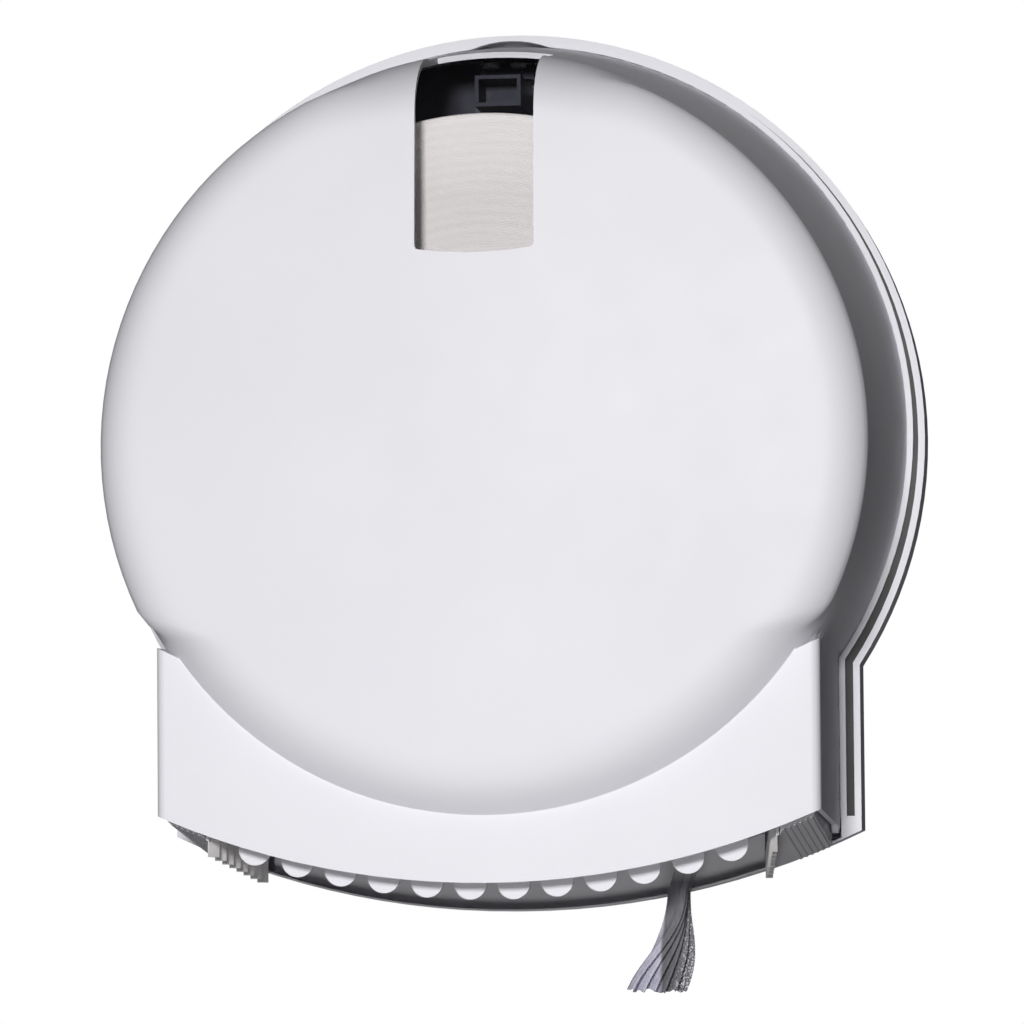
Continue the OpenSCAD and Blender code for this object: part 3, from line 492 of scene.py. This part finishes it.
frosted, surface, place = material("tooth_plastic")
frost = speckle(place, 90, 3).clamp(0.3, 0.7)
feed(
    surface,
    Base_Color=frost.between((0.72, 0.70, 0.69), (0.84, 0.82, 0.81)),
    Roughness=speckle(place, 300, 3) * 0.2 + 0.4,
    Normal=relief(place, speckle(place, 900, 3), 0.3, 0.0002),
)
smooth_copy("left_teeth", "tooth_strip_left", frosted, "base", 20)
smooth_copy("right_teeth", "tooth_strip_right", frosted, "base", 20)

# ---- Paper tail ----
# The free end of the roll: a strip of thin tissue as wide as the roll.  It leaves the roll's
# right side, is gathered into narrow pleats where it comes out, and hangs open with a torn end.

tail_width, pleats, leaves_roll = 0.088, 5.5, math.radians(-18.8)
web_start = Vector((0.1252, -0.0396))
neck = Vector((0.072, -0.196))
tail_end = Vector((0.062, -0.2385))
columns, rows, halvings = 110, 120, 22
neck_half, open_half, slack = 0.006, 0.0132, 0.0002
roll_depth, hang_depth = 0.057, 0.028
open_turn, sideways_bow, ply_thickness = math.radians(66), 0.0025, 0.0003
torn_from = 1.7


def pleated(height, half, station):
    """Points across the paper at one station: chord place and fold height."""
    line = []
    for k in range(columns + 1):
        u = 2 * k / columns - 1
        sway = 0.5 * noise.noise((u * 1.7, station * 1.3, 5.2))
        size = 0.85 + 0.35 * noise.noise((u * 3.1, station * 0.7, 1.9))
        line.append((u * half, height * size * math.sin(math.pi * pleats * (u + 1) + sway)))
    return line


def gathered(half, station):
    """The pleats at one station, as deep as the paper's width needs."""
    low, high = 0.0, 0.02
    for _ in range(halvings):
        height = (low + high) / 2
        line = pleated(height, half, station)
        long = sum(math.dist(a, b) for a, b in zip(line, line[1:]))
        low, high = (height, high) if long < tail_width else (low, height)
    return pleated(low, half, station)


# A station of 0 is where the paper leaves the roll, 1 is the neck and 2 the torn end.
form = bmesh.new()
bmesh.ops.create_grid(form, x_segments=columns, y_segments=rows, size=0.5)
across_paper = form.verts.layers.float.new("across_paper")
lines = {}
for vert in form.verts:
    column = round((vert.co.x + 0.5) * columns)
    row = round((vert.co.y + 0.5) * rows)
    station = row / rows * 2
    if row not in lines:
        if station < 1:
            wide = tail_width / 2 - slack
            half = wide - (wide - neck_half) * fade(station, 0, 1)
        else:
            half = neck_half + (open_half - neck_half) * fade(station, 1, 2)
        lines[row] = gathered(half, station)
    chord, fold = lines[row][column]
    u = 2 * column / columns - 1
    if station < 1:
        spot = web_start.lerp(neck, station)
        depth = roll_depth + (hang_depth - roll_depth) * fade(station, 0, 1)
        lean = leaves_roll * (1 - fade(station * 1.2 - 0.2, 0, 1))
        turned = 0.0
    else:
        below = station - 1
        bow = sideways_bow * math.sin(math.pi * below)
        spot = neck.lerp(tail_end, below) + Vector((bow, 0))
        depth = hang_depth
        lean = 0.0
        turned = open_turn * fade(below, 0, 1)
    torn = 0.0
    if station > torn_from:
        rip = 0.0016 * noise.noise((u * 4.1, 2.2, 7.7))
        rip += 0.0011 * noise.noise((u * 17, 4.2, 3.3))
        torn = (station - torn_from) / (2 - torn_from) * rip
    fold += 0.00035 * noise.noise((u * 40, station * 60, 9.1)) * fade(station - 0.6, 0, 1)
    vert.co = (
        spot[0] + fold * math.cos(lean) * math.cos(turned) + chord * math.sin(turned),
        -(depth - chord * math.cos(turned) + fold * math.sin(turned) * 0.8),
        spot[1] + fold * math.sin(lean) + torn,
    )
    vert[across_paper] = u
tail_mesh = bpy.data.meshes.new("paper_end")
form.to_mesh(tail_mesh)
form.free()
tail_mesh.shade_smooth()

# A fold runs down the paper, and the light and shade on it are painted into the tissue's colour.
# Its right side is painted in shade, its left side is painted lighter above and dimmer where it
# opens, and the paper near the roll is pale.
fold_slope, fold_from, fold_to = 0.076, 0.0812, 0.0824
lit_below, lit_above, roll_below, roll_above = -0.214, -0.206, -0.192, -0.178
soft, surface, place = material("loose_tissue")
side = place.node("Attribute", {"attribute_name": "across_paper"}, out=2)
level = place.node("SeparateXYZ", out=2, Vector=place)
beside_fold = place.node("SeparateXYZ", Vector=place) + level * -fold_slope
drawn = place.node("Mapping", Vector=place, Scale=(900, 900, 60))
streak = drawn.node("TexNoise", Vector=drawn, Scale=1.0, Detail=3.0, Roughness=0.6)
fleck = speckle(place, 1100, 3).clamp(0.52, 0.62) * side.clamp(0.35, 0.75)
# Painted shade: the opened paper is dimmed and the fold's right side is dark; painted light: the
# left side is lighter above.
opened_painted_shade = streak.clamp(0.3, 0.7).between((0.44, 0.43, 0.53), (0.64, 0.63, 0.73))
fold_painted_shade = streak.clamp(0.3, 0.7).between((0.14, 0.14, 0.155), (0.20, 0.20, 0.22))
painted_light_above = level.clamp(lit_below, lit_above).between(opened_painted_shade, (0.80, 0.80, 0.86))
painted_light_and_shade = beside_fold.clamp(fold_from, fold_to).between(painted_light_above, fold_painted_shade)
hanging = fleck.between(painted_light_and_shade, (0.90, 0.90, 0.93))
feed(
    surface,
    Base_Color=level.clamp(roll_below, roll_above).between(hanging, (0.90, 0.88, 0.88)),
    Roughness=0.95,
    Normal=relief(place, streak * 0.5 + speckle(place, 1500, 3) * 0.7, 0.7, 0.0003),
)
paper = show("paper_end", tail_mesh, soft)
ply = paper.modifiers.new("two_plies", "SOLIDIFY")
ply.thickness = ply_thickness
ply.offset = 0
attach(paper, "base")
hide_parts("paper_tail")

# ---- Floor of the studio ----
# A plain pale floor, one metre below the dispenser's middle.  It glows evenly, so that it looks
# pale where no lamp reaches it, and it sends no light of its own to the dispenser.

floor_half, floor_drop = 3, 1.0
form = bmesh.new()
bmesh.ops.create_grid(form, x_segments=1, y_segments=1, size=floor_half)
bmesh.ops.translate(form, verts=form.verts, vec=(0, 0, -floor_drop))
floor_mesh = bpy.data.meshes.new("studio_floor")
form.to_mesh(floor_mesh)
form.free()
pale, surface, place = material("pale_floor")
patch = speckle(place, 2, 3).clamp(0.3, 0.7)
feed(
    surface,
    Base_Color=patch.between((0.80, 0.80, 0.81), (0.84, 0.84, 0.85)),
    Roughness=0.8,
    Emission_Color=(0.93, 0.93, 0.95, 1),
)
surface.inputs["Emission Strength"].default_value = 0.62
floor = show("studio_floor", floor_mesh, pale)
floor.visible_diffuse = False
floor.visible_glossy = False
